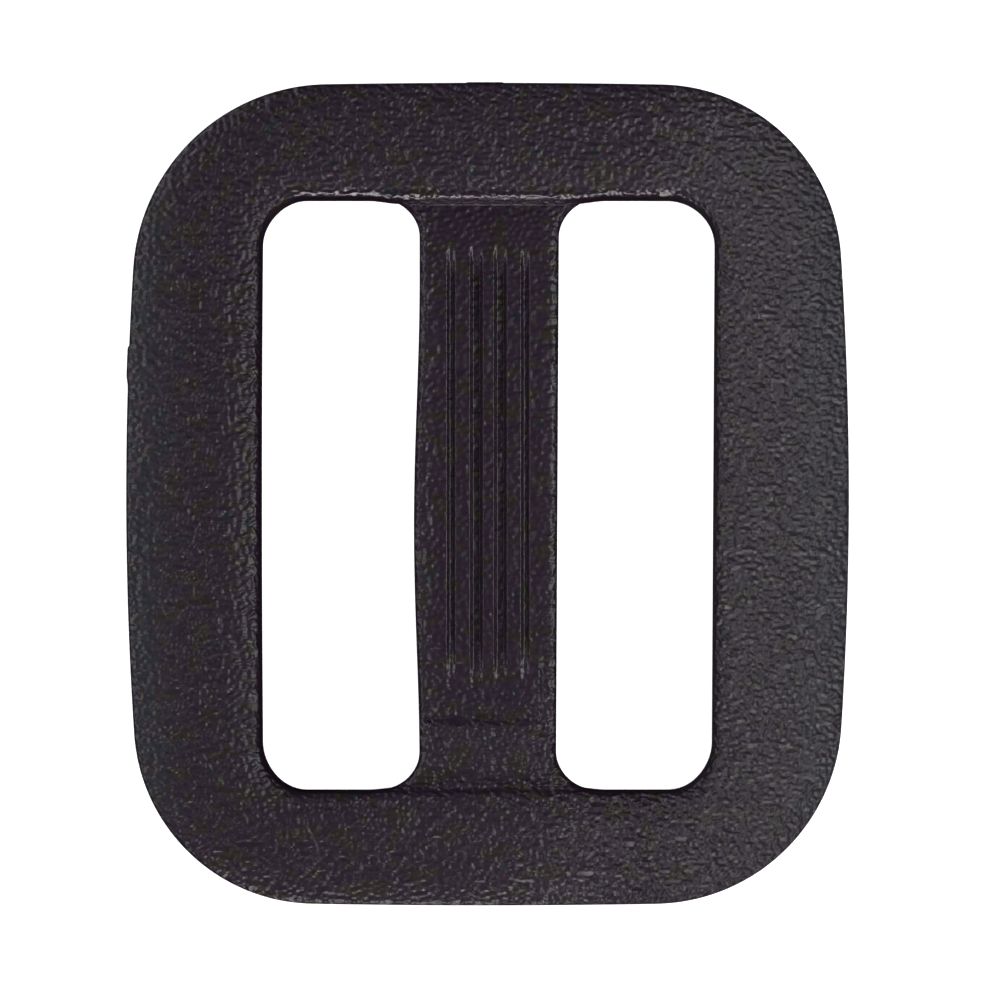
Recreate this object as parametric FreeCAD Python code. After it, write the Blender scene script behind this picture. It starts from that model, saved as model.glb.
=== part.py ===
"""A three-bar webbing slider: a rounded plastic frame with a lower, ribbed centre bar across its opening.

The slider lies flat. +Z is up, out of the face that carries the ribs, +Y runs along the centre bar
(across the webbing) and +X runs along the webbing. The origin is on the resting face, in the middle
of the frame. All sizes are in millimetres.
"""
import FreeCAD
import Part

import math
import os

# --- driving dimensions -------------------------------------------------------------------------

WEBBING_WIDTH = 25.0
WEBBING_PLAY = 1.3                  # how much longer a slot is than its webbing is wide
SLOT_WIDTH = 7.02
BAR_WIDTH = 6.2
SLOT_CORNER_R = 2.1

OUTER_BAR_WIDTH = 5.87              # at the middle of each side
END_RAIL_WIDTH = 5.04               # at the middle of each end
SIDE_BOW_R = 160.0                  # the sides bulge outward on this radius
END_BOW_R = 412.0                   # the ends bulge outward on this radius
OUTLINE_CORNER_R = 8.3

FRAME_THICKNESS = 3.2
CROWN_WIDTH = 1.9                   # the face falls away over this much of each edge
CROWN_DROP = 0.27
FACE_EDGE_R = 0.28                  # between the face's crown and the walls
BACK_EDGE_R = 0.3                   # between the back and the walls

BAR_UNDERSIDE_Z = 0.45              # the bar's back is raised clear of the resting face
BAR_CREST_Z = 2.55                  # the bar's highest line, below the frame's face
BAR_CREST_Y = 1.5                   # where along the bar that line lies
BAR_ARCH_R = 260.0                  # the bar's face arches lengthwise on this radius
BAR_BOW = 0.2                       # how far the bar's -X side bulges
BAR_BOW_Y = -1.4                    # where that bulge is greatest
BAR_EDGE_R = 0.35                   # along the bar's sides, on its face and its underside

RIB_COUNT = 3                       # ribs between the grooves; a plain land runs along each side
RIB_PITCH = 1.16
RIB_PATTERN_X = 0.12                # the rib pattern sits slightly to +X of the bar's middle
GROOVE_DEPTH = 0.34
GROOVE_MOUTH = 0.66
GROOVE_FLOOR = 0.26
GROOVE_START_Y = 11.2
GROOVE_END_Y = -7.9
GROOVE_RUN_OUT = 0.7                # each groove's floor rises to the face over this length

RAMP_END_Y = -10.1                  # beyond the grooves the face ramps below the arch, as far as here
RAMP_LOW_X = -2.55                  # the ramp stops short of the bar's sides
RAMP_HIGH_X = 2.5
STEP_HEIGHT = 0.08                  # of the small step that leads up to the arch again
BAR_END_R = 0.35                    # hollow rounding where the bar's face turns up to the frame's walls
BAR_END_TURN = math.radians(60)     # how steep that rounding gets

# --- worked out from them -----------------------------------------------------------------------

OPENING_HALF_W = BAR_WIDTH / 2 + SLOT_WIDTH
OPENING_HALF_L = (WEBBING_WIDTH + WEBBING_PLAY) / 2
HALF_W = OPENING_HALF_W + OUTER_BAR_WIDTH
HALF_L = OPENING_HALF_L + END_RAIL_WIDTH
GROOVE_COUNT = RIB_COUNT + 1
CLEAR = 1.0                         # how far a cutting tool runs past what it cuts
TOLERANCE = 1e-3                    # for telling whether two positions are the same

Z_AXIS = FreeCAD.Vector(0, 0, 1)


def point(x, y, z=0.0):
    return FreeCAD.Vector(x, y, z)


def on_circle(centre, radius, angle):
    return centre + point(radius * math.cos(angle), radius * math.sin(angle))


# --- outlines -----------------------------------------------------------------------------------

def corner_centre():
    """Centre of the corner arc that is tangent to the side's arc and to the end's arc."""
    side_centre = point(HALF_W - SIDE_BOW_R, 0)
    end_centre = point(0, HALF_L - END_BOW_R)
    side_reach = SIDE_BOW_R - OUTLINE_CORNER_R
    end_reach = END_BOW_R - OUTLINE_CORNER_R
    between = end_centre - side_centre
    along = (side_reach ** 2 - end_reach ** 2 + between.Length ** 2) / (2 * between.Length)
    across = math.sqrt(side_reach ** 2 - along ** 2)
    direction = point(between.x, between.y).normalize()
    normal = point(-direction.y, direction.x)
    foot = side_centre + direction * along
    return max((foot + normal * across, foot - normal * across), key=lambda p: p.x + p.y)


def outer_outline():
    """The frame's outline: two bowed sides, two bowed ends and four tangent corner arcs."""
    corner = corner_centre()
    side_centre = point(HALF_W - SIDE_BOW_R, 0)
    end_centre = point(0, HALF_L - END_BOW_R)
    side_angle = math.atan2(corner.y - side_centre.y, corner.x - side_centre.x)
    end_angle = math.atan2(corner.y - end_centre.y, corner.x - end_centre.x)
    side_end = on_circle(corner, OUTLINE_CORNER_R, side_angle)
    middle = on_circle(corner, OUTLINE_CORNER_R, (side_angle + end_angle) / 2)
    end_start = on_circle(corner, OUTLINE_CORNER_R, end_angle)

    def quadrant(p, sx, sy):
        return point(p.x * sx, p.y * sy)

    edges = []
    for sx, sy in ((1, 1), (-1, -1)):
        edges += [
            Part.Arc(quadrant(side_end, sx, -sy), point(HALF_W * sx, 0), quadrant(side_end, sx, sy)),
            Part.Arc(quadrant(side_end, sx, sy), quadrant(middle, sx, sy), quadrant(end_start, sx, sy)),
            Part.Arc(quadrant(end_start, sx, sy), point(0, HALF_L * sy), quadrant(end_start, -sx, sy)),
            Part.Arc(quadrant(end_start, -sx, sy), quadrant(middle, -sx, sy), quadrant(side_end, -sx, sy)),
        ]
    return Part.Wire([edge.toShape() for edge in edges])


def opening_outline():
    """The frame's one opening, a rounded rectangle that the centre bar divides into two slots."""
    w, l, r = OPENING_HALF_W, OPENING_HALF_L, SLOT_CORNER_R
    edges = []
    for sx, sy in ((1, 1), (-1, -1)):
        cut = r * (1 - math.sqrt(0.5))
        edges += [
            Part.LineSegment(point(w * sx, (r - l) * sy), point(w * sx, (l - r) * sy)),
            Part.Arc(point(w * sx, (l - r) * sy), point((w - cut) * sx, (l - cut) * sy),
                     point((w - r) * sx, l * sy)),
            Part.LineSegment(point((w - r) * sx, l * sy), point((r - w) * sx, l * sy)),
            Part.Arc(point((r - w) * sx, l * sy), point((cut - w) * sx, (l - cut) * sy),
                     point(-w * sx, (l - r) * sy)),
        ]
    return Part.Wire([edge.toShape() for edge in edges])


def bar_outline():
    """The bar in plan: flared ends on the slots' corner radius, one straight side and one bowed side."""
    half, l, r = BAR_WIDTH / 2, OPENING_HALF_L, SLOT_CORNER_R
    cut = r * (1 - math.sqrt(0.5))
    straight = l - r

    def flare(sx, sy, outward):
        start = point((half + r) * sx, l * sy)
        middle = point((half + cut) * sx, (l - cut) * sy)
        end = point(half * sx, straight * sy)
        return Part.Arc(end, middle, start) if outward else Part.Arc(start, middle, end)

    edges = [
        Part.LineSegment(point(-half - r, l), point(half + r, l)),
        flare(1, 1, outward=False),
        Part.LineSegment(point(half, straight), point(half, -straight)),
        flare(1, -1, outward=True),
        Part.LineSegment(point(half + r, -l), point(-half - r, -l)),
        flare(-1, -1, outward=False),
        Part.Arc(point(-half, -straight), point(-half - BAR_BOW, BAR_BOW_Y), point(-half, straight)),
        flare(-1, 1, outward=True),
    ]
    return Part.Wire([edge.toShape() for edge in edges])


# --- frame --------------------------------------------------------------------------------------

def face_edge_cutter(outline, material_side):
    """What is removed round one edge of the face: beyond its crown and the rounding below that.

    The outline runs anticlockwise, and material_side is 1 if the material is on its left, or -1.
    """
    crown_r = (CROWN_WIDTH ** 2 + CROWN_DROP ** 2) / (2 * CROWN_DROP)
    crown_z = FRAME_THICKNESS - crown_r
    edge_reach = crown_r - FACE_EDGE_R
    edge_z = crown_z + math.sqrt(edge_reach ** 2 - (CROWN_WIDTH - FACE_EDGE_R) ** 2)
    edge_tilt = math.asin((CROWN_WIDTH - FACE_EDGE_R) / edge_reach)
    first = outline.Edges[0]
    start = first.valueAt(first.FirstParameter)
    along = first.tangentAt(first.FirstParameter)
    inward = point(-along.y, along.x) * material_side

    def at(depth, z):
        return start + inward * depth + point(0, 0, z)

    def on_arc(depth, z, radius, tilt):
        """The point of an arc that faces outward and up, its centre at (depth, z)."""
        return at(depth - radius * math.sin(tilt), z + radius * math.cos(tilt))

    inner_end = at(CROWN_WIDTH, FRAME_THICKNESS)
    crown_middle = on_arc(CROWN_WIDTH, crown_z, crown_r, edge_tilt / 2)
    crown_end = on_arc(CROWN_WIDTH, crown_z, crown_r, edge_tilt)
    edge_middle = on_arc(FACE_EDGE_R, edge_z, FACE_EDGE_R, (edge_tilt + math.pi / 2) / 2)
    edge_end = at(0, edge_z)
    corners = [edge_end, at(-CLEAR, edge_z), at(-CLEAR, FRAME_THICKNESS + CLEAR),
               at(CROWN_WIDTH, FRAME_THICKNESS + CLEAR), inner_end]
    edges = [
        Part.Arc(inner_end, crown_middle, crown_end).toShape(),
        Part.Arc(crown_end, edge_middle, edge_end).toShape(),
    ]
    edges += [Part.LineSegment(a, b).toShape() for a, b in zip(corners, corners[1:])]
    return outline.makePipeShell([Part.Wire(edges)], True, False)


def edges_at(shape, z):
    """The edges of shape that lie level at height z."""
    def is_level(edge):
        box = edge.BoundBox
        return abs(box.ZMin - z) < TOLERANCE and abs(box.ZMax - z) < TOLERANCE
    return [edge for edge in shape.Edges if is_level(edge)]


def make_frame():
    outer, opening = outer_outline(), opening_outline()
    ring = Part.Face(outer).extrude(Z_AXIS * FRAME_THICKNESS)
    ring = ring.cut(Part.Face(opening).extrude(Z_AXIS * FRAME_THICKNESS))
    ring = ring.cut(face_edge_cutter(outer, 1))
    ring = ring.cut(face_edge_cutter(opening, -1))
    return ring.makeFillet(BACK_EDGE_R, edges_at(ring, 0))


# --- centre bar ---------------------------------------------------------------------------------

def arch_z(y):
    """Height of the bar's arched face at y, before the ramp and the step."""
    return BAR_CREST_Z - BAR_ARCH_R + math.sqrt(BAR_ARCH_R ** 2 - (y - BAR_CREST_Y) ** 2)


def drawn_across(edges, low_x, high_x):
    """A closed profile in the YZ plane, drawn out along X."""
    profile = Part.Face(Part.Wire([edge.toShape() for edge in edges]))
    profile.translate(point(low_x, 0, 0))
    return profile.extrude(point(high_x - low_x, 0, 0))


def lines_through(points):
    return [Part.LineSegment(a, b) for a, b in zip(points, points[1:])]


def above_arch():
    """What is removed above the bar's face: an arch that turns up to the frame's walls at both ends."""
    high = BAR_CREST_Z + 2 * CLEAR
    reach = BAR_WIDTH / 2 + SLOT_CORNER_R + CLEAR

    def end_rounding(side, turn):
        """A point of the hollow rounding at the +Y or -Y end, where it has turned up by that angle."""
        start_y = OPENING_HALF_L - BAR_END_R * math.sin(BAR_END_TURN)
        return point(0, side * (start_y + BAR_END_R * math.sin(turn)),
                     arch_z(side * start_y) + BAR_END_R * (1 - math.cos(turn)))

    turns = (BAR_END_TURN, BAR_END_TURN / 2, 0)
    low_top, low_middle, low = [end_rounding(-1, turn) for turn in turns]
    far_top, far_middle, far = [end_rounding(1, turn) for turn in turns]
    edges = [
        Part.Arc(low_top, low_middle, low),
        Part.Arc(low, point(0, BAR_CREST_Y, BAR_CREST_Z), far),
        Part.Arc(far, far_middle, far_top),
    ]
    corners = [far_top, point(0, far_top.y, high), point(0, low_top.y, high), low_top]
    return drawn_across(edges + lines_through(corners), -reach, reach)


def above_ramp():
    """What is removed above the ramp, whose far end is the small step back up to the arch."""
    high = BAR_CREST_Z + CLEAR
    ramp_top = point(0, GROOVE_END_Y, arch_z(GROOVE_END_Y))
    step_foot = point(0, RAMP_END_Y, arch_z(RAMP_END_Y) - STEP_HEIGHT)
    corners = [ramp_top, step_foot, point(0, RAMP_END_Y, high), point(0, GROOVE_END_Y, high), ramp_top]
    return drawn_across(lines_through(corners), RAMP_LOW_X, RAMP_HIGH_X)


def groove_section(x, y, floor_z):
    """A trapezoid across one groove at y, with its floor at floor_z."""
    rise = CLEAR
    widen = (GROOVE_MOUTH - GROOVE_FLOOR) / 2 / GROOVE_DEPTH
    half_floor = GROOVE_FLOOR / 2
    half_top = half_floor + widen * rise
    return Part.makePolygon([
        point(x - half_floor, y, floor_z),
        point(x + half_floor, y, floor_z),
        point(x + half_top, y, floor_z + rise),
        point(x - half_top, y, floor_z + rise),
        point(x - half_floor, y, floor_z),
    ])


def make_groove(x):
    """One groove's cutter: level with the arch along its length and rising out of it at both ends."""
    stations = [
        (GROOVE_START_Y, 0.0),
        (GROOVE_START_Y - GROOVE_RUN_OUT, GROOVE_DEPTH),
        (BAR_CREST_Y, GROOVE_DEPTH),
        (GROOVE_END_Y + GROOVE_RUN_OUT, GROOVE_DEPTH),
        (GROOVE_END_Y, 0.0),
    ]
    sections = [groove_section(x, y, arch_z(y) - depth) for y, depth in stations]
    return Part.makeLoft(sections, True, True)


def side_edges(face):
    """A face's edges along the bar's sides, without those on its two ends."""
    return [edge for edge in face.Edges if abs(edge.CenterOfMass.y) < OPENING_HALF_L - TOLERANCE]


def make_centre_bar():
    bar = Part.Face(bar_outline()).extrude(Z_AXIS * (BAR_CREST_Z + CLEAR - BAR_UNDERSIDE_Z))
    bar.translate(Z_AXIS * BAR_UNDERSIDE_Z)
    bar = bar.cut(above_arch())
    top = max(bar.Faces, key=lambda face: face.CenterOfMass.z)
    underside = min(bar.Faces, key=lambda face: face.CenterOfMass.z)
    bar = bar.makeFillet(BAR_EDGE_R, side_edges(top) + side_edges(underside))
    bar = bar.cut(above_ramp())
    first = RIB_PATTERN_X - RIB_PITCH * (GROOVE_COUNT - 1) / 2
    for i in range(GROOVE_COUNT):
        bar = bar.cut(make_groove(first + i * RIB_PITCH))
    return bar


# --- writing ------------------------------------------------------------------------------------

def main():
    os.makedirs("parts", exist_ok=True)
    parts = {"frame": make_frame(), "centre_bar": make_centre_bar()}
    for name, shape in parts.items():
        box = shape.optimalBoundingBox(False, False)
        low_high = [round(v, 2) for v in (box.XMin, box.YMin, box.ZMin, box.XMax, box.YMax, box.ZMax)]
        print(name, "valid", shape.isValid(), "solids", len(shape.Solids), "mm3", round(shape.Volume, 1),
              "box", low_high)
        shape.exportStep(f"parts/{name}.step")
    overlap = parts["frame"].common(parts["centre_bar"]).Volume
    print("overlap of the two:", round(overlap, 6), "mm3")


main()
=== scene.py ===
"""The looks of a moulded three-bar webbing slider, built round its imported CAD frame.

The slider is one moulding in black plastic. Two pieces stand for it: the rounded frame, and the
ribbed centre bar that crosses its opening. Sizes are in millimetres until a mesh is made.
"""

import math

import bpy
import numpy as np
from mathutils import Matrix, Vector, noise


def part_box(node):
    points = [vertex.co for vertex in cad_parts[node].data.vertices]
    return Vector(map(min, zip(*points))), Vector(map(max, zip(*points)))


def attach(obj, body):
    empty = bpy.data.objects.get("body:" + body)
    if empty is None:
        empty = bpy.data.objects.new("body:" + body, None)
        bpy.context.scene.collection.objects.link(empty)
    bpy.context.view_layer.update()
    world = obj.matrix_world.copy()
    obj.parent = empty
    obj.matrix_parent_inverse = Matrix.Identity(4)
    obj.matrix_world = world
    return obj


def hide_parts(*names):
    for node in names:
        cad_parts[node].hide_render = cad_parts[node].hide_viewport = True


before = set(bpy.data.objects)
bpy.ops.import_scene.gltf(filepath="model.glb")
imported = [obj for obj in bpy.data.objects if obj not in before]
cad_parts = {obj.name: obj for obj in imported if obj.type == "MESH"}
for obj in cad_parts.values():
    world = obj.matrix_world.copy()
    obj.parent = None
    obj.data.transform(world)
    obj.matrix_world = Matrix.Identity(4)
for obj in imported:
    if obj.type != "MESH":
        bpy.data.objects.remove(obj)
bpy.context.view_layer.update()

MM = 0.001

# --- sizes, in millimetres ----------------------------------------------------------------------

frame_low, frame_high = [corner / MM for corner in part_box("frame")]
bar_low, bar_high = [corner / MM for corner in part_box("centre_bar")]

HALF_W = frame_high.x
HALF_L = frame_high.y
FACE_Z = frame_high.z

OPENING_HALF_L = bar_high.y
SLOT_CORNER_R = 2.1
BAR_HALF_W = bar_high.x - SLOT_CORNER_R     # the bar's ends flare out by the slots' corner radius
SLOT_WIDTH = 7.02
OPENING_HALF_W = BAR_HALF_W + SLOT_WIDTH

SIDE_BOW_R = 160.0
END_BOW_R = 412.0
OUTLINE_CORNER_R = {(1, 1): 8.1, (-1, 1): 8.7, (-1, -1): 8.05, (1, -1): 8.35}   # by signs of x, y

# The moulding stands off its nominal shape by a few hundredths, and these say how far.
LEFT_SLOT_IN = 0.05             # the -X slot's outer edge stands in by this at its middle
LEFT_SLOT_BOW = 0.07            # and by this much more near its ends
RIGHT_SLOT_IN = 0.06            # the +X slot's outer edge stands in by this at its middle
RIGHT_SLOT_LEAN = 0.0055        # and leans in by this for each millimetre towards -Y
TOP_SLOT_IN = 0.07              # the slots' +Y ends stand in by this
BOTTOM_SLOT_OUT = 0.03          # and their -Y ends stand out by this

CROWN_WIDTH = 1.9               # over this width at every edge the face falls off
CROWN_DROP = 0.27               # by this
OUTLINE_EDGE_R = 0.28           # the roundings between the face and the walls
OPENING_EDGE_R = 0.4
BACK_EDGE_R = 0.3
PARTING_Z = 1.5                 # the walls lean in, above and below the line where the mould parts
DRAFT = math.tan(math.radians(0.8))
PARTING_RIDGE = 0.02            # the faint ridge along that line
PARTING_RIDGE_REACH = 0.12      # and how far up and down the wall it fades out
GATE_X = (-0.9, 0.65)           # where the gate was cut off, on the wall of the +Y end
GATE_Z = (0.9, 2.2)
GATE_HEIGHT = 0.07
GATE_DEPTH = (1.0, 0.8)         # how far in from the end its height fades in
SWELLING_Y = (5.3, 6.45)        # where the -X side swells a little
SWELLING_HEIGHT = 0.07
SWELLING_DEPTH = (2.4, 1.2)     # how far in from the side its height fades in
SWELLING_FADE = 0.6             # its gradual end
MARK_FADE = 0.12                # the abrupt ends of the gate's mark and of the swelling
SIDE_SHIFT_X = (8.0, 10.0)      # where the shifts of the slots' outer edges fade in
END_SHIFT_Y = (11.0, 13.0)      # and where those of their ends do
TOP_SADDLE_SHIFT = 0.13         # how much further in the rails' edges stand where the bar meets them
BOTTOM_SADDLE_SHIFT = 0.11
SADDLE_HALF_W = 4.6
SADDLE_FADE = 0.7
FACE_WAVES = ((0.012, 3.2), (0.004, 0.9))   # height and size of the face's slight waves and ripples
RIPPLE_STRETCH = (0.5, 1.6, 1.0)
FACE_WAVES_Z = (1.0, 2.6)       # the waves fade in between these heights

BAR_UNDERSIDE_Z = bar_low.z
BAR_LEVEL_Z = 2.55              # the bar's face is almost level from its -Y end to here
BAR_LEVEL_Y = 1.5
BAR_RISE = 0.004                # how much it rises for each millimetre towards -Y
BAR_ARCH_R = 260.0              # and it arches down on this radius towards +Y
BAR_FLARE_R = 1.8               # the arcs where the bar's sides flare out into the end rails
BAR_LEAN = 0.0055               # how much its +X side leans in for each millimetre towards -Y
BAR_WAIST = 0.085               # how far its -X side stands in near the ends
BAR_BOW = 0.25                  # and how far it bulges from there
BAR_BOW_Y = -1.4                # the middle of the bulge
BAR_BOW_REACH = 11.0            # and how far along the bar it fades out
BAR_EDGE_R = 0.35
BAR_WAVE = (0.008, 1.6)         # height and size of the slight waves in its face
BAR_WAVE_Z = (1.2, 2.0)
TOP_END_R = 0.04                # the hollow rounding where the bar's face turns up into the +Y rail
TOP_END_TURN = math.radians(66)     # how steep it gets
TOP_END_RUN = 0.14              # and how far it runs on from there to the rail's wall
BOTTOM_END_R = 0.3              # the wider, gentler rounding at the -Y rail
BOTTOM_END_TURN = math.radians(50)
BAR_EMBED = 0.08                # how far the bar's ends run on into the frame, to leave no gap

GROOVES = ((-1.61, 0.44), (-0.49, 0.62), (0.57, 0.62), (1.67, 0.44))    # centre and width of each
GROOVE_FULL_WIDTH = 0.62        # the narrower grooves are shallower in proportion
GROOVE_DEPTH = 0.3
GROOVE_WALL = 0.18              # the width over which a groove's wall falls
GROOVE_START_Y = 11.2
GROOVE_RUN_IN = 1.6

POCKET_START_Y = -6.2           # from here the ribs sink into a shallow pocket
POCKET_FLAT_Y = -8.9            # and from here it is flat, as far as a small step
POCKET_END_Y = -10.1
POCKET_EDGE_X = 2.5             # it is open at the bar's -X side, and has a wall at its +X edge
POCKET_WALL = 0.3               # which rises over this width
STEP_HEIGHT = 0.2               # the step at its highest
STEP_WEAK_SHARE = 0.65          # and the share of that height that it has elsewhere
STEP_WALL = 0.4                 # the length over which it rises
STEP_STRONG_X = (-2.0, 0.45)    # the step is highest between these
STEP_FADE = 0.9
STEP_NIB_X = (-2.62, 2.56)      # two tiny nibs stand at its ends
STEP_NIB_R = 0.15
STEP_NIB_HEIGHT = 0.1

SPACING = 0.11                  # between the frame's mesh lines, round its sides and ends
CORNER_LINES = 56               # mesh lines round each of its corners
FACE_ROWS = 20                  # rows of mesh across its face and across its back
BACK_ROWS = 24
BAR_SPACING = 0.8 * SPACING     # between the bar's mesh lines, along it
FINE_SPACING = 0.02             # and across the ribs
FLARE_LINES = 40                # mesh lines across the bar, along each flare
STEP_LINES = 11                 # down the step
END_LINES = 27                  # and at each end
END_REACH = (0.08, 0.6)         # where those lie this far in from the end
EDGE_LINES = 9                  # mesh lines along the bar, round each edge of its face
WALL_LINES = 7                  # and down each wall
RANDOM_SEED = 7

# --- the plastic's looks: places in millimetres, colours in linear light --------------------------

GRAIN_SCALE = 4.6               # the grain's cells to the millimetre
GRAIN_STRETCH = 0.85            # they are wider along X
GRAIN_DEPTH = 0.12              # their height at a strength of 1
GRAIN_FINE = 0.95               # the grain's strength over most of the face
GRAIN_COARSE = 2.7              # and at the far +X side
GRAIN_LEAN = 0.2                # how much the coarser part leans towards -Y
COARSE_X = (3.0, HALF_W - 3.5)

RIBS_X = (2.2, 3.0)             # the smoother ground round the ribs fades out between these
RIBS_LOW_Y = (POCKET_END_Y - 0.3, POCKET_END_Y + 2.4)
RIBS_HIGH_Y = (OPENING_HALF_L - 0.4, OPENING_HALF_L)
RIBS_GRAIN = 0.5                # it keeps this share of the grain
RIBS_POLISH = 0.06              # and this is taken from its roughness

WORN_LOW_Y = (OPENING_HALF_L - 0.3, OPENING_HALF_L - 0.1)   # the rail's worn edge fades in between these
WORN_HIGH_Y = (OPENING_HALF_L + 0.2, OPENING_HALF_L + 0.4)  # and out between these
WORN_X = (OPENING_HALF_W - 1.6, OPENING_HALF_W - 0.6)
WORN_GRAIN = 0.6
WORN_POLISH = 0.15

SATIN = (0.42, 0.50)            # the roughness varies between these
SATIN_SCALE = 2.5
DULL_X = (0.0, HALF_W - 4)      # towards +X it gets duller by this much
DULLNESS = 0.03

VIOLET_BLACK = (0.0165, 0.0065, 0.0175, 1)
BROWN_BLACK = (0.0165, 0.0095, 0.0085, 1)
BLUE_BLACK = (0.0090, 0.0095, 0.0175, 1)
# painted sheen: a lighter grey laid on where the light falls brighter, on the +X bar and the outer crowns
PAINTED_SHEEN_GREY = (0.050, 0.047, 0.053, 1)
BROWN_PATCHES = (0.56, 0.60)    # where their noise passes these, the patches fade in
BROWN_SCALE = 0.9
BROWN_STRETCH = (1.0, 1.3, 1.0)
BLUE_PATCHES = (0.68, 0.72)
BLUE_SCALE = 1.1
BLUE_OFFSET = (31.0, 17.0, 5.0)     # keeps the blue patches apart from the brown ones
BLUE_AT_SIDES = 0.22            # and this brings more of them to both outer sides
OUTER_SIDES_X = (HALF_W - 3, HALF_W - 1)
PAINTED_SHEEN_AT_SIDES = 0.2             # how much of the painted sheen's lighter grey shows there
PAINTED_SHEEN_X = (HALF_W - 9, HALF_W - 3.5)
PAINTED_SHEEN_TOWARDS_X = 0.36           # and how much in the +X bar, a painted sheen for the brighter light that falls there

# --- the studio, in millimetres and degrees ---------------------------------------------------------

FLOOR_SIZE = 2000.0             # from the middle to the walls, and the walls' height
FLOOR_GAP = 0.01                # keeps the frame's back off the floor's plane
FLOOR_WHITE = (0.8, 0.8, 0.8, 1)
FLOOR_GLOW = 0.95
SKY_COLOUR = (0.96, 0.97, 1.0, 1)
SKY_STRENGTH = 0.02
HORIZON = 0.05                  # the sky fades in over this, in the sine of the elevation

# Each softbox has an azimuth, 0 at -Y and 90 at +X, an elevation, a distance, a side, a radiance
# and a colour.
SOFTBOXES = {
    "right_softbox": (90, 50, 120.0, 50.0, 10.7, (0.97, 0.98, 1.0)),
    "front_softbox": (0, 18, 400.0, 140.0, 16.3, (1.0, 0.98, 0.97)),
    "left_softbox": (-90, 34, 400.0, 140.0, 7.3, (0.94, 0.97, 1.0)),
    "back_softbox": (-135, 20, 400.0, 140.0, 7.5, (0.97, 0.98, 1.0)),
}

VIEW_WIDTH = 44.07              # how much of the face's plane the camera sees
EYE_X = 0.55                    # where the camera stands, and how high above the face
EYE_Y = -0.26
EYE_HEIGHT = 200.0
SENSOR_WIDTH = 36.0


# --- mesh helpers -------------------------------------------------------------------------------

def smooth(low, high, value):
    """0 below low, 1 above high and a smooth rise between."""
    t = np.clip((value - low) / (high - low), 0, 1)
    return t * t * (3 - 2 * t)


def mesh_piece(name, points, faces):
    """A smooth-shaded mesh object from points in millimetres."""
    mesh = bpy.data.meshes.new(name)
    mesh.from_pydata((points * MM).tolist(), [], faces)
    mesh.update()
    mesh.polygons.foreach_set("use_smooth", np.ones(len(mesh.polygons), dtype=bool))
    piece = bpy.data.objects.new(name, mesh)
    bpy.context.scene.collection.objects.link(piece)
    return piece


def ring_faces(rows, columns, close_rows):
    """Quads of a grid whose columns wrap round, and whose rows do too if close_rows is true."""
    row = np.arange(rows if close_rows else rows - 1)[:, None]
    column = np.arange(columns)[None, :]
    next_row = (row + 1) % rows
    next_column = (column + 1) % columns
    corners = [row * columns + column, row * columns + next_column,
               next_row * columns + next_column, next_row * columns + column]
    return np.stack(corners, axis=-1).reshape(-1, 4).tolist()


def unevenness(points, size, seed):
    """Smooth noise from -1 to 1 at each point, with bumps of about that size in millimetres."""
    offset = Vector((seed * 17.3, seed * 5.1, seed * 9.7))
    return np.array([noise.noise(Vector(p) / size + offset) for p in points])


# --- the frame ----------------------------------------------------------------------------------

def arc(centre, radius, start, end, count):
    """Points of an arc and its outward directions, without the last point."""
    angles = np.linspace(start, end, count, endpoint=False)
    directions = np.stack([np.cos(angles), np.sin(angles)], axis=1)
    return np.array(centre) + radius * directions, directions


def outline_corner(radius):
    """Centre of the corner arc of that radius, tangent to the side's arc and to the end's arc."""
    side_centre = Vector((HALF_W - SIDE_BOW_R, 0))
    end_centre = Vector((0, HALF_L - END_BOW_R))
    side_reach = SIDE_BOW_R - radius
    end_reach = END_BOW_R - radius
    between = end_centre - side_centre
    along = (side_reach ** 2 - end_reach ** 2 + between.length_squared) / (2 * between.length)
    across = math.sqrt(side_reach ** 2 - along ** 2)
    direction = between.normalized()
    normal = Vector((-direction.y, direction.x))
    foot = side_centre + direction * along
    return max((foot + normal * across, foot - normal * across), key=lambda p: p.x + p.y)


def outer_quarter(counts, radius):
    """The frame's outline from the middle of its +X side to the middle of its +Y end."""
    corner = outline_corner(radius)
    side_angle = math.atan2(corner.y, corner.x - (HALF_W - SIDE_BOW_R))
    end_angle = math.atan2(corner.y - (HALF_L - END_BOW_R), corner.x)
    stretches = [
        arc((HALF_W - SIDE_BOW_R, 0), SIDE_BOW_R, 0, side_angle, counts[0]),
        arc(corner, radius, side_angle, end_angle, counts[1]),
        arc((0, HALF_L - END_BOW_R), END_BOW_R, end_angle, math.pi / 2, counts[2]),
    ]
    return [np.concatenate(parts) for parts in zip(*stretches)]


def opening_quarter(counts):
    """The opening's outline over the same stretches, with directions that point into the material."""
    straight_y = OPENING_HALF_L - SLOT_CORNER_R
    straight_x = OPENING_HALF_W - SLOT_CORNER_R
    up = np.linspace(0, straight_y, counts[0], endpoint=False)
    back = np.linspace(straight_x, 0, counts[2], endpoint=False)
    stretches = [
        (np.stack([np.full_like(up, OPENING_HALF_W), up], axis=1), np.tile([1.0, 0.0], (counts[0], 1))),
        arc((straight_x, straight_y), SLOT_CORNER_R, 0, math.pi / 2, counts[1]),
        (np.stack([back, np.full_like(back, OPENING_HALF_L)], axis=1), np.tile([0.0, 1.0], (counts[2], 1))),
    ]
    return [np.concatenate(parts) for parts in zip(*stretches)]


def all_round(quarters, end_y):
    """A whole outline, anticlockwise from +X, from the quarter that each pair of signs asks for."""
    loops = []
    for part, end in ((0, (0.0, end_y)), (1, (0.0, 1.0))):
        first, second, third, fourth = [
            np.vstack([quarters[signs][part], end]) * signs
            for signs in ((1, 1), (-1, 1), (-1, -1), (1, -1))
        ]
        loops.append(np.concatenate([first[:-1], second[:0:-1], third[:-1], fourth[:0:-1]]))
    return loops


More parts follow.
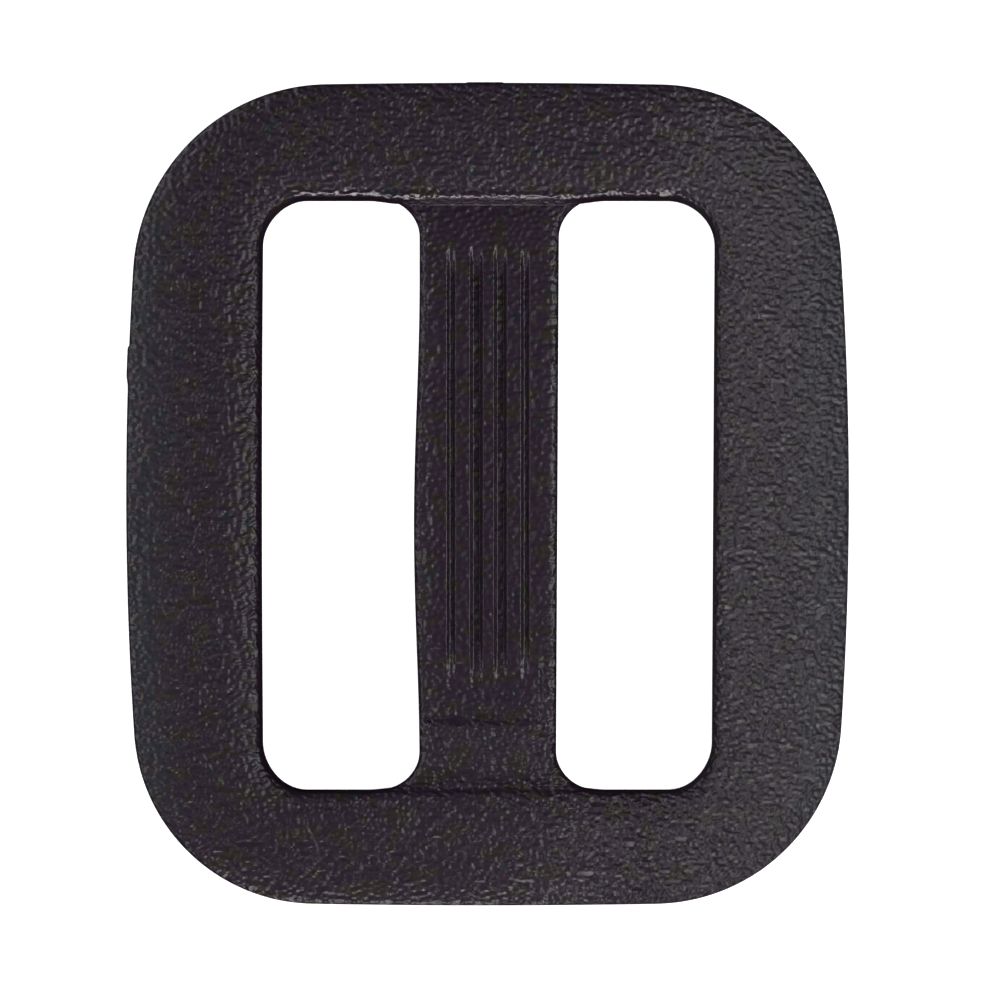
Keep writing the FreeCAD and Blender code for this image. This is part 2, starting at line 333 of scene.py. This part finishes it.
def edge_profile(face_edge_r):
    """Depth from the wall and height of each point, from the flat face over the edge to the back."""
    crown_r = (CROWN_WIDTH ** 2 + CROWN_DROP ** 2) / (2 * CROWN_DROP)
    crown_z = FACE_Z - crown_r
    edge_reach = crown_r - face_edge_r
    edge_z = crown_z + math.sqrt(edge_reach ** 2 - (CROWN_WIDTH - face_edge_r) ** 2)
    edge_tilt = math.asin((CROWN_WIDTH - face_edge_r) / edge_reach)
    profile = []
    for tilt in np.linspace(0, edge_tilt, 17)[:-1]:
        profile.append((CROWN_WIDTH - crown_r * math.sin(tilt), crown_z + crown_r * math.cos(tilt)))
    for tilt in np.linspace(edge_tilt, math.pi / 2, 11):
        profile.append((face_edge_r * (1 - math.sin(tilt)), edge_z + face_edge_r * math.cos(tilt)))
    for z in np.linspace(edge_z, BACK_EDGE_R, 15)[1:-1]:
        profile.append((0.0, z))
    for tilt in np.linspace(math.pi / 2, 0, 7):
        profile.append((BACK_EDGE_R * (1 - math.sin(tilt)), BACK_EDGE_R * (1 - math.cos(tilt))))
    return np.array(profile)


def wall_lean(z):
    """How far the walls stand back at a height, for their draft and the ridge at the parting line."""
    away = np.abs(z - PARTING_Z)
    return DRAFT * away - PARTING_RIDGE * np.clip(1 - away / PARTING_RIDGE_REACH, 0, 1)


def sweep_edge(outline, face_edge_r, inward):
    """The edge profile carried round an outline: an array of stations by profile points by xyz."""
    points, directions = outline
    profile = edge_profile(face_edge_r)
    depth = profile[:, 0] + wall_lean(profile[:, 1])
    flat = points[:, None, :] + directions[:, None, :] * (inward * depth)[None, :, None]
    height = np.tile(profile[:, 1], (len(points), 1))
    return np.concatenate([flat, height[:, :, None]], axis=2)


def between(first, last, count):
    """Rows of points between two rings of points, without the two rings."""
    shares = np.linspace(0, 1, count + 2)[1:-1]
    return first[:, None, :] * (1 - shares)[None, :, None] + last[:, None, :] * shares[None, :, None]


def settle_opening(edge):
    """Moves the opening's edge to where the real one stands, and in towards the bar where they meet."""
    x, y = edge[..., 0].copy(), edge[..., 1].copy()
    left = smooth(*SIDE_SHIFT_X, -x) * (LEFT_SLOT_IN + LEFT_SLOT_BOW * (y / OPENING_HALF_L) ** 2)
    right = smooth(*SIDE_SHIFT_X, x) * (RIGHT_SLOT_IN - RIGHT_SLOT_LEAN * y)
    edge[..., 0] += left - right
    at_bar = 1 - smooth(SADDLE_HALF_W - SADDLE_FADE, SADDLE_HALF_W + SADDLE_FADE, np.abs(x))
    top = smooth(*END_SHIFT_Y, y) * (TOP_SLOT_IN + TOP_SADDLE_SHIFT * at_bar)
    bottom = smooth(*END_SHIFT_Y, -y) * (BOTTOM_SADDLE_SHIFT * at_bar - BOTTOM_SLOT_OUT)
    edge[..., 1] += bottom - top


def plateau(low, high, fade_in, fade_out, value):
    """1 from low to high, with smooth fades outside them."""
    return smooth(low - fade_in, low, value) * (1 - smooth(high, high + fade_out, value))


def add_marks(edge):
    """Moves the outline's walls out where the gate was cut off, and at a low swelling of the -X side."""
    x, y, z = edge[..., 0], edge[..., 1], edge[..., 2]
    across = plateau(*GATE_X, MARK_FADE, MARK_FADE, x)
    up = plateau(*GATE_Z, MARK_FADE, MARK_FADE, z)
    gate = GATE_HEIGHT * across * up * smooth(HALF_L - GATE_DEPTH[0], HALF_L - GATE_DEPTH[1], y)
    along = plateau(*SWELLING_Y, SWELLING_FADE, MARK_FADE, y)
    at_side = smooth(HALF_W - SWELLING_DEPTH[0], HALF_W - SWELLING_DEPTH[1], -x)
    edge[..., 1] += gate
    edge[..., 0] -= SWELLING_HEIGHT * along * at_side


def make_frame(plastic):
    """The closed ring, as one skin of quads carried round its outline and its opening."""
    counts = [round(OPENING_HALF_L / SPACING), CORNER_LINES, round(OPENING_HALF_W / SPACING)]
    outer_quarters = {signs: outer_quarter(counts, radius) for signs, radius in OUTLINE_CORNER_R.items()}
    opening_quarters = dict.fromkeys(OUTLINE_CORNER_R, opening_quarter(counts))
    outer = sweep_edge(all_round(outer_quarters, HALF_L), OUTLINE_EDGE_R, -1)
    inner = sweep_edge(all_round(opening_quarters, OPENING_HALF_L), OPENING_EDGE_R, 1)
    add_marks(outer)
    settle_opening(inner)
    face = between(inner[:, 0], outer[:, 0], FACE_ROWS)
    back = between(outer[:, -1], inner[:, -1], BACK_ROWS)
    grid = np.concatenate([face, outer, back, inner[:, ::-1]], axis=1)
    stations, loop = grid.shape[:2]
    points = grid.reshape(-1, 3)
    (wave_height, wave_size), (ripple_height, ripple_size) = FACE_WAVES
    wave = wave_height * unevenness(points, wave_size, RANDOM_SEED)
    ripple = ripple_height * unevenness(points * RIPPLE_STRETCH, ripple_size, RANDOM_SEED + 1)
    points[:, 2] += smooth(*FACE_WAVES_Z, points[:, 2]) * (wave + ripple)
    piece = mesh_piece("slider_frame", points, ring_faces(stations, loop, True))
    finish_piece(piece, "frame", plastic)


# --- the centre bar -----------------------------------------------------------------------------

def face_z(y):
    """Height of the bar's face: arched down towards +Y, and almost level towards -Y."""
    beyond = np.maximum(y - BAR_LEVEL_Y, 0)
    short_of = np.maximum(BAR_LEVEL_Y - y, 0)
    return BAR_LEVEL_Z - BAR_ARCH_R + np.sqrt(BAR_ARCH_R ** 2 - beyond ** 2) + BAR_RISE * short_of


def bar_side(y, side):
    """How far the bar's wall stands from its centreline at y, on the +X or the -X side."""
    past = np.clip(np.abs(y) - (OPENING_HALF_L - BAR_FLARE_R), 0, BAR_FLARE_R)
    flare = BAR_FLARE_R - np.sqrt(BAR_FLARE_R ** 2 - past ** 2)
    if side > 0:
        return BAR_HALF_W + BAR_LEAN * y + flare
    away = np.clip(np.abs(y - BAR_BOW_Y) / BAR_BOW_REACH, 0, 1)
    return BAR_HALF_W - BAR_WAIST + BAR_BOW * np.cos(away * math.pi / 2) ** 2 + flare


def wall_distance(x, y):
    """Distance from a point of the bar to its nearer wall, square to the wall."""
    straight = OPENING_HALF_L - BAR_FLARE_R
    beside = np.where(x > 0, bar_side(y, 1) - x, bar_side(y, -1) + x)
    foot = np.where(x > 0, bar_side(straight * np.sign(y), 1), bar_side(straight * np.sign(y), -1))
    to_centre = np.hypot(np.abs(x) - (foot + BAR_FLARE_R), np.abs(y) - straight)
    return np.where(np.abs(y) > straight, np.minimum(beside, to_centre - BAR_FLARE_R), beside)


def edge_drop(distance, radius):
    """How far a rounded edge of that radius has fallen, at a distance from the wall."""
    t = np.clip(1 - distance / radius, 0, 1)
    return radius * (1 - np.sqrt(1 - t * t))


def grooves(x):
    """How much of their full depth the lengthwise grooves have across the bar."""
    share = np.zeros_like(x)
    for centre, width in GROOVES:
        share += smooth(0, GROOVE_WALL, width / 2 - np.abs(x - centre)) * width / GROOVE_FULL_WIDTH
    return share


def pocket(x):
    """How much of its full depth the pocket beyond the grooves has across the bar."""
    return 1 - smooth(POCKET_EDGE_X - POCKET_WALL, POCKET_EDGE_X, x)


def recess(x, y):
    """Depth of the grooves and of the pocket that they run into, up to its small step."""
    in_pocket = 1 - smooth(POCKET_FLAT_Y, POCKET_START_Y, y)
    shape = grooves(x) * (1 - in_pocket) + pocket(x) * in_pocket
    run_in = 1 - smooth(GROOVE_START_Y - GROOVE_RUN_IN, GROOVE_START_Y, y)
    step = smooth(POCKET_END_Y - STEP_WALL / 2, POCKET_END_Y + STEP_WALL / 2, y)
    strong = plateau(*STEP_STRONG_X, STEP_FADE, STEP_FADE, x)
    at_step = STEP_HEIGHT * (STEP_WEAK_SHARE + (1 - STEP_WEAK_SHARE) * strong)
    along = np.clip((POCKET_START_Y - y) / (POCKET_START_Y - POCKET_END_Y), 0, 1)
    return (GROOVE_DEPTH * (1 - along) + at_step * along) * shape * run_in * step


def step_nibs(x, y):
    """Height of the nibs at the ends of the step."""
    height = np.zeros_like(x)
    for nib_x in STEP_NIB_X:
        away = np.hypot(x - nib_x, y - POCKET_END_Y)
        height += STEP_NIB_HEIGHT * (1 - smooth(0, STEP_NIB_R, away))
    return height


def end_turn(y, wall_y, radius, turn, run):
    """How far the bar's face has turned up at a rail: on a hollow rounding, and then straight on."""
    hollow_run = radius * math.sin(turn)
    past = y - wall_y + run + hollow_run
    hollow = radius - np.sqrt(radius ** 2 - np.clip(past, 0, hollow_run) ** 2)
    return hollow + math.tan(turn) * np.clip(past - hollow_run, 0, run + BAR_EMBED)


def end_turns(y):
    """How far the bar's face has turned up into the end rails."""
    top_wall = OPENING_HALF_L - TOP_SLOT_IN - TOP_SADDLE_SHIFT
    bottom_wall = OPENING_HALF_L + BOTTOM_SLOT_OUT - BOTTOM_SADDLE_SHIFT
    return (end_turn(y, top_wall, TOP_END_R, TOP_END_TURN, TOP_END_RUN)
            + end_turn(-y, bottom_wall, BOTTOM_END_R, BOTTOM_END_TURN, 0))


def bar_rows():
    """Positions along the bar of the mesh's rows, closer together at the step and the flared ends."""
    straight = OPENING_HALF_L - BAR_FLARE_R
    turn = np.linspace(0, math.pi / 2, FLARE_LINES)[1:]
    flare = straight + BAR_FLARE_R * np.sin(turn)
    body = np.arange(-straight, straight, BAR_SPACING)
    step = np.linspace(POCKET_END_Y - STEP_WALL / 2, POCKET_END_Y + STEP_WALL / 2, STEP_LINES)
    body = body[np.abs(body - POCKET_END_Y) > STEP_WALL / 2 + FINE_SPACING]
    end = OPENING_HALF_L + BAR_EMBED
    ends = OPENING_HALF_L - np.linspace(*END_REACH, END_LINES)
    return np.unique(np.concatenate([[-end], -flare, -ends, body, step, flare, ends, [end]]).round(4))


def make_centre_bar(plastic):
    """The ribbed bar, as one closed skin: rings of points across it, row after row along it."""
    rows = bar_rows()
    inside = np.clip(rows, -OPENING_HALF_L, OPENING_HALF_L)
    rounding = BAR_EDGE_R * (1 - np.cos(np.linspace(0, math.pi / 2, EDGE_LINES)))[:-1]
    low = -bar_side(inside, -1)[:, None]
    high = bar_side(inside, 1)[:, None]
    middle_count = round(2 * BAR_HALF_W / FINE_SPACING)
    shares = np.linspace(0, 1, middle_count)[None, :]
    middle = (low + BAR_EDGE_R) * (1 - shares) + (high - BAR_EDGE_R) * shares
    x = np.concatenate([low + rounding, middle, high - rounding[::-1]], axis=1)
    y = np.repeat(inside[:, None], x.shape[1], axis=1)
    drop = edge_drop(np.maximum(wall_distance(x, y), 0), BAR_EDGE_R)
    top = face_z(y) + end_turns(y) - recess(x, y) + step_nibs(x, y) - drop
    bottom = BAR_UNDERSIDE_Z + drop
    down = np.linspace(0, 1, WALL_LINES + 2)[1:-1][None, :]
    right_wall = top[:, -1:] * (1 - down) + bottom[:, -1:] * down
    left_wall = bottom[:, :1] * (1 - down) + top[:, :1] * down
    right_x = np.repeat(high, WALL_LINES, axis=1)
    left_x = np.repeat(low, WALL_LINES, axis=1)
    loop_x = np.concatenate([x, right_x, x[:, ::-1], left_x], axis=1)
    loop_z = np.concatenate([top, right_wall, bottom[:, ::-1], left_wall], axis=1)
    loop_y = np.repeat(rows[:, None], loop_x.shape[1], axis=1)
    points = np.stack([loop_x, loop_y, loop_z], axis=-1).reshape(-1, 3)
    wave_height, wave_size = BAR_WAVE
    wave = wave_height * unevenness(points, wave_size, RANDOM_SEED + 2)
    points[:, 2] += smooth(*BAR_WAVE_Z, points[:, 2]) * wave
    count = loop_x.shape[1]
    faces = [face[::-1] for face in ring_faces(len(rows), count, False)]
    faces.append(list(range(count)))
    faces.append(list(range((len(rows) - 1) * count, len(rows) * count))[::-1])
    piece = mesh_piece("slider_centre_bar", points, faces)
    finish_piece(piece, "centre_bar", plastic)


def finish_piece(piece, node, plastic):
    """Parents a piece to the body, hides the CAD node it stands for, and gives it the plastic."""
    piece.data.materials.append(plastic)
    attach(piece, "root")
    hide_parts(node)


# --- materials ----------------------------------------------------------------------------------

class Nodes:
    """Short ways to add nodes to a node tree and join them up."""

    def __init__(self, tree):
        self.tree = tree
        self.tree.nodes.clear()

    def add(self, kind, inputs=None, **settings):
        node = self.tree.nodes.new(kind)
        for key, value in settings.items():
            setattr(node, key, value)
        for key, value in (inputs or {}).items():
            if isinstance(value, bpy.types.NodeSocket):
                self.tree.links.new(value, node.inputs[key])
            else:
                node.inputs[key].default_value = value
        return node

    def math(self, operation, a, b):
        return self.add("ShaderNodeMath", {0: a, 1: b}, operation=operation).outputs[0]

    def scaled(self, vector, scale):
        return self.add("ShaderNodeMapping", {"Vector": vector, "Scale": scale}).outputs["Vector"]

    def noise(self, vector, scale, detail=2.0, roughness=0.5):
        inputs = {"Vector": vector, "Scale": scale, "Detail": detail, "Roughness": roughness}
        return self.add("ShaderNodeTexNoise", inputs).outputs["Fac"]

    def range(self, value, from_low, from_high, to_low, to_high):
        inputs = {"Value": value, "From Min": from_low, "From Max": from_high,
                  "To Min": to_low, "To Max": to_high}
        return self.add("ShaderNodeMapRange", inputs).outputs["Result"]

    def blend(self, share, a, b):
        node = self.add("ShaderNodeMix", data_type="RGBA")
        for socket, value in ((node.inputs[0], share), (node.inputs[6], a), (node.inputs[7], b)):
            if isinstance(value, bpy.types.NodeSocket):
                self.tree.links.new(value, socket)
            else:
                socket.default_value = value
        return node.outputs[2]


def within(n, axis, low, high):
    """1 where the size of that coordinate is under low, 0 where it is over high."""
    return n.range(n.math("ABSOLUTE", axis, 0.0), low, high, 1.0, 0.0)


def strip(n, axes, half_width, low_y, high_y):
    """1 in a strip along the middle of the part, which fades at its sides and at both ends."""
    rising = n.range(axes["Y"], *low_y, 0.0, 1.0)
    falling = n.range(axes["Y"], *high_y, 1.0, 0.0)
    return n.math("MULTIPLY", n.math("MULTIPLY", rising, falling), within(n, axes["X"], *half_width))


def plastic_grain(n, place, axes, ribs, worn):
    """The spark-eroded grain as a bump, coarser towards +X and -Y."""
    leaning = n.math("SUBTRACT", axes["X"], n.math("MULTIPLY", axes["Y"], GRAIN_LEAN))
    height = n.noise(n.scaled(place, (GRAIN_STRETCH, 1.0, 1.0)), GRAIN_SCALE, 0.0)
    height = n.math("MULTIPLY", height, n.range(leaning, *COARSE_X, GRAIN_FINE, GRAIN_COARSE))
    height = n.math("MULTIPLY", height, n.range(ribs, 0.0, 1.0, 1.0, RIBS_GRAIN))
    height = n.math("MULTIPLY", height, n.range(worn, 0.0, 1.0, 1.0, WORN_GRAIN))
    bump = n.add("ShaderNodeBump", {"Strength": 1.0, "Distance": GRAIN_DEPTH * MM, "Height": height})
    return bump.outputs["Normal"]


def plastic_tint(n, place, axes):
    """Near-black in three faint shades, with a painted sheen of lighter grey on the +X bar and along both
    outer sides, where the light falls brighter.
    """
    at_sides = n.math("SUBTRACT", 1.0, within(n, axes["X"], *OUTER_SIDES_X))
    brown = n.noise(n.scaled(place, BROWN_STRETCH), BROWN_SCALE, 1.0)
    elsewhere = n.add("ShaderNodeVectorMath", {0: place, 1: BLUE_OFFSET}).outputs[0]
    blue = n.noise(elsewhere, BLUE_SCALE, 1.0)
    blue = n.math("ADD", blue, n.math("MULTIPLY", at_sides, BLUE_AT_SIDES))
    # painted sheen: lighter grey where the light falls brighter, not a colour of the plastic itself
    painted_sheen = n.range(axes["X"], *PAINTED_SHEEN_X, 0.0, PAINTED_SHEEN_TOWARDS_X)
    painted_sheen = n.math("ADD", painted_sheen, n.math("MULTIPLY", at_sides, PAINTED_SHEEN_AT_SIDES))
    tint = n.blend(n.range(brown, *BROWN_PATCHES, 0.0, 1.0), VIOLET_BLACK, BROWN_BLACK)
    tint = n.blend(n.range(blue, *BLUE_PATCHES, 0.0, 1.0), tint, BLUE_BLACK)
    return n.blend(painted_sheen, tint, PAINTED_SHEEN_GREY)


def plastic_roughness(n, place, axes, ribs, worn):
    """Satin, a little duller towards +X, and smoother among the ribs and on the worn edge."""
    satin = n.range(n.noise(place, SATIN_SCALE, 2.0), 0.3, 0.7, *SATIN)
    duller = n.range(axes["X"], *DULL_X, 0.0, DULLNESS)
    polish = n.math("ADD", n.math("MULTIPLY", worn, WORN_POLISH), n.math("MULTIPLY", ribs, RIBS_POLISH))
    return n.math("ADD", satin, n.math("SUBTRACT", duller, polish))


def black_plastic():
    """Black moulded plastic with a spark-eroded grain, a faint mottling and a painted sheen."""
    material = bpy.data.materials.new("moulded_black_plastic")
    material.use_nodes = True
    n = Nodes(material.node_tree)
    place = n.scaled(n.add("ShaderNodeTexCoord").outputs["Object"], (1 / MM, 1 / MM, 1 / MM))
    axes = n.add("ShaderNodeSeparateXYZ", {0: place}).outputs
    ribs = strip(n, axes, RIBS_X, RIBS_LOW_Y, RIBS_HIGH_Y)
    worn = strip(n, axes, WORN_X, WORN_LOW_Y, WORN_HIGH_Y)
    shader = n.add("ShaderNodeBsdfPrincipled", {
        "Base Color": plastic_tint(n, place, axes),
        "Roughness": plastic_roughness(n, place, axes, ribs, worn),
        "IOR": 1.5,
        "Normal": plastic_grain(n, place, axes, ribs, worn),
    })
    n.add("ShaderNodeOutputMaterial", {"Surface": shader.outputs["BSDF"]})
    return material


def floor_material():
    """White that glows enough to look evenly lit."""
    material = bpy.data.materials.new("pale_floor")
    material.use_nodes = True
    n = Nodes(material.node_tree)
    shader = n.add("ShaderNodeBsdfPrincipled", {
        "Base Color": FLOOR_WHITE, "Roughness": 0.9,
        "Emission Color": (1, 1, 1, 1), "Emission Strength": FLOOR_GLOW,
    })
    n.add("ShaderNodeOutputMaterial", {"Surface": shader.outputs["BSDF"]})
    return material


# --- the scene ----------------------------------------------------------------------------------

def make_floor():
    """A pale floor and pale walls far round it. They light nothing and shade nothing."""
    size = FLOOR_SIZE * MM
    mesh = bpy.data.meshes.new("floor")
    plan = [(-size, -size), (size, -size), (size, size), (-size, size)]
    corners = [(x, y, z) for z in (-FLOOR_GAP * MM, size) for x, y in plan]
    walls = [(i, i + 4, (i + 1) % 4 + 4, (i + 1) % 4) for i in range(4)]
    mesh.from_pydata(corners, [], [(0, 1, 2, 3)] + walls)
    floor = bpy.data.objects.new("floor", mesh)
    floor.data.materials.append(floor_material())
    floor.visible_diffuse = False
    floor.visible_glossy = False
    floor.visible_shadow = False
    bpy.context.scene.collection.objects.link(floor)


def make_world():
    """A dim studio, darker below the horizon."""
    world = bpy.data.worlds.new("studio")
    world.use_nodes = True
    bpy.context.scene.world = world
    n = Nodes(world.node_tree)
    direction = n.add("ShaderNodeTexCoord").outputs["Generated"]
    up = n.add("ShaderNodeSeparateXYZ", {0: direction}).outputs["Z"]
    strength = n.range(up, -HORIZON, HORIZON, 0.0, SKY_STRENGTH)
    background = n.add("ShaderNodeBackground", {"Color": SKY_COLOUR, "Strength": strength})
    n.add("ShaderNodeOutputWorld", {"Surface": background.outputs["Background"]})


def soft_light(name, azimuth, elevation, distance, side, radiance, colour):
    """A square softbox that faces the slider."""
    a, e = math.radians(azimuth), math.radians(elevation)
    direction = Vector((math.sin(a) * math.cos(e), -math.cos(a) * math.cos(e), math.sin(e)))
    light = bpy.data.lights.new(name, "AREA")
    light.size = side * MM
    light.energy = radiance * math.pi * light.size ** 2
    light.color = colour
    lamp = bpy.data.objects.new(name, light)
    lamp.location = direction * distance * MM
    lamp.rotation_mode = "QUATERNION"
    lamp.rotation_quaternion = direction.to_track_quat("Z", "Y")
    lamp.visible_camera = False
    bpy.context.scene.collection.objects.link(lamp)


def make_camera():
    """A long lens straight above the slider, which lies a little to the left of and above the centre."""
    camera = bpy.data.cameras.new("camera")
    camera.sensor_width = SENSOR_WIDTH
    camera.lens = SENSOR_WIDTH * EYE_HEIGHT / VIEW_WIDTH
    camera.clip_start = 0.01
    camera.clip_end = 10.0
    eye = bpy.data.objects.new("camera", camera)
    eye.location = Vector((EYE_X, EYE_Y, FACE_Z + EYE_HEIGHT)) * MM
    bpy.context.scene.collection.objects.link(eye)
    bpy.context.scene.camera = eye


bpy.context.scene.view_settings.view_transform = "Standard"
plastic = black_plastic()
make_frame(plastic)
make_centre_bar(plastic)
make_floor()
make_world()
for name, settings in SOFTBOXES.items():
    soft_light(name, *settings)
make_camera()
